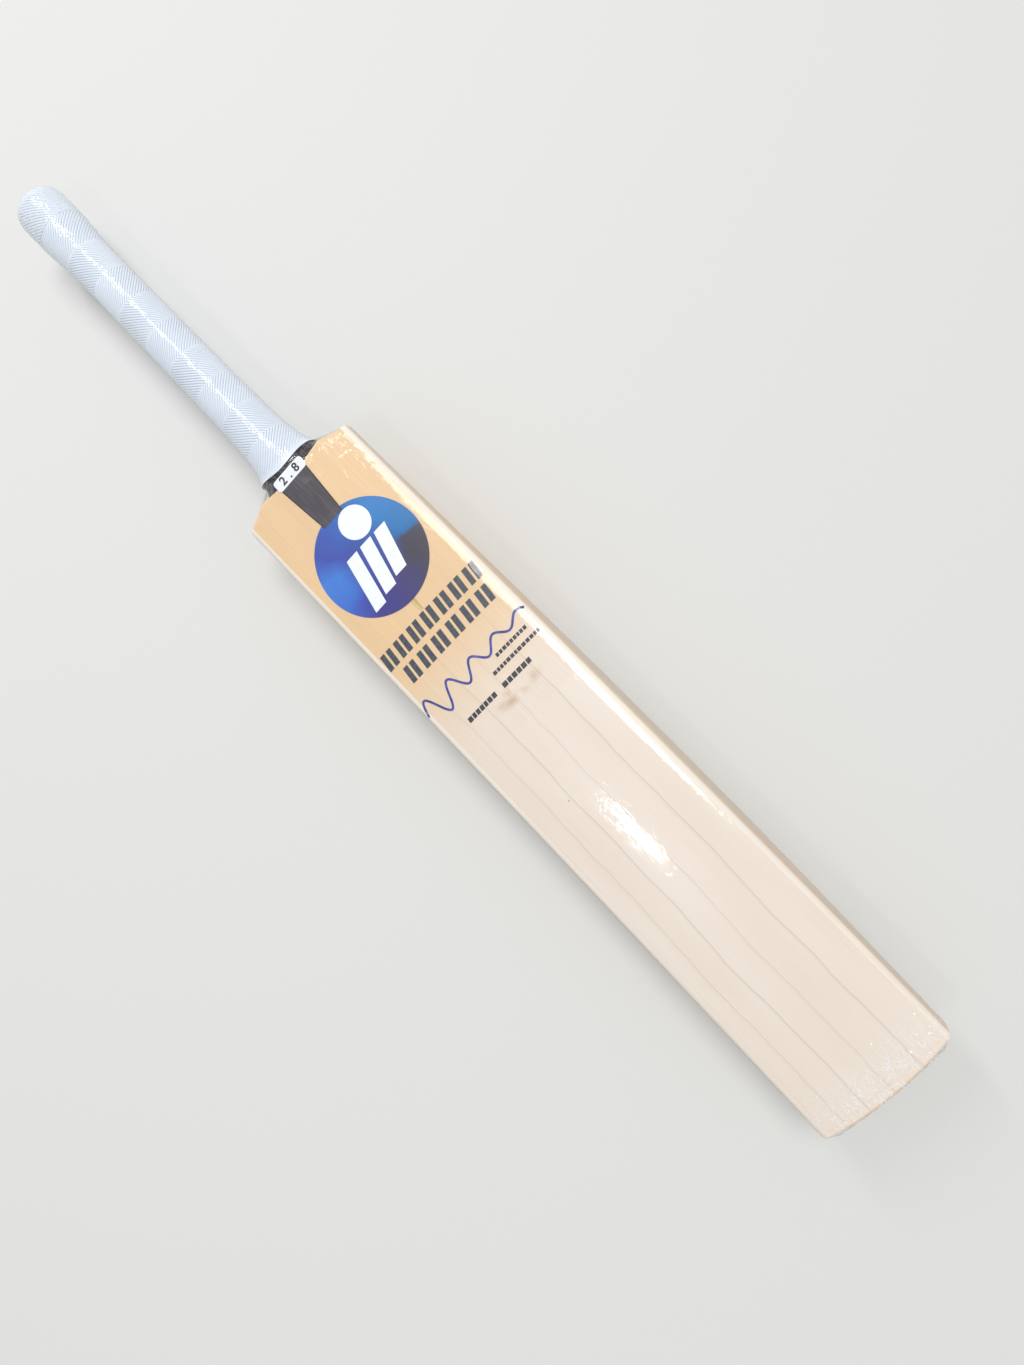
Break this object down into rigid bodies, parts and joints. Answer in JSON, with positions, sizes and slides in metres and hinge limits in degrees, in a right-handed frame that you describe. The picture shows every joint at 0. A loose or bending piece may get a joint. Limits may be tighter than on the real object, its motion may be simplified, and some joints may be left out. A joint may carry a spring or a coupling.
{
  "type": "cricket bat",
  "caption": "Cricket bat with a cambered willow blade, swelled spine, spliced laminated cane handle, rubber inserts, bound neck and ribbed rubber grip.",
  "frame": {"origin": "below the middle of the bat, on the surface that the spine rests on, as the bat lies on its back", "axes": "+Y from the toe to the handle's end, +Z out of the face, +X to the right when the face is looked at with the handle up"},
  "size_m": [0.106, 0.856, 0.0676],
  "materials": {
    "willow": "sanded and burnished willow, satin",
    "cane": "planed cane, satin",
    "insert_rubber": "cut sheet rubber, matt",
    "twine": "waxed thread, close wound",
    "binding": "black glued thread, glossy",
    "grip_rubber": "ribbed moulded rubber, satin",
    "facing": "clear facing sheet over willow, satin",
    "badge_print": "printed film, gloss",
    "cover_print": "printed film, gloss",
    "label_paper": "printed label, satin"
  },
  "bodies": {
    "root": {"blade": "willow", "cane_slip_back_left": "cane", "cane_slip_back_middle": "cane", "cane_slip_back_right": "cane", "cane_slip_inner_back_left": "cane", "cane_slip_inner_back_middle": "cane", "cane_slip_inner_back_right": "cane", "cane_slip_inner_front_left": "cane", "cane_slip_inner_front_middle": "cane", "cane_slip_inner_front_right": "cane", "cane_slip_front_left": "cane", "cane_slip_front_middle": "cane", "cane_slip_front_right": "cane", "rubber_insert_back": "insert_rubber", "rubber_insert_middle": "insert_rubber", "rubber_insert_front": "insert_rubber", "handle_twine": "twine", "shoulder_binding": "binding", "rubber_grip": "grip_rubber", "face_sheet": "facing", "badge": "badge_print", "splice_cover": "cover_print", "weight_label": "label_paper"}
  },
  "joints": []
}
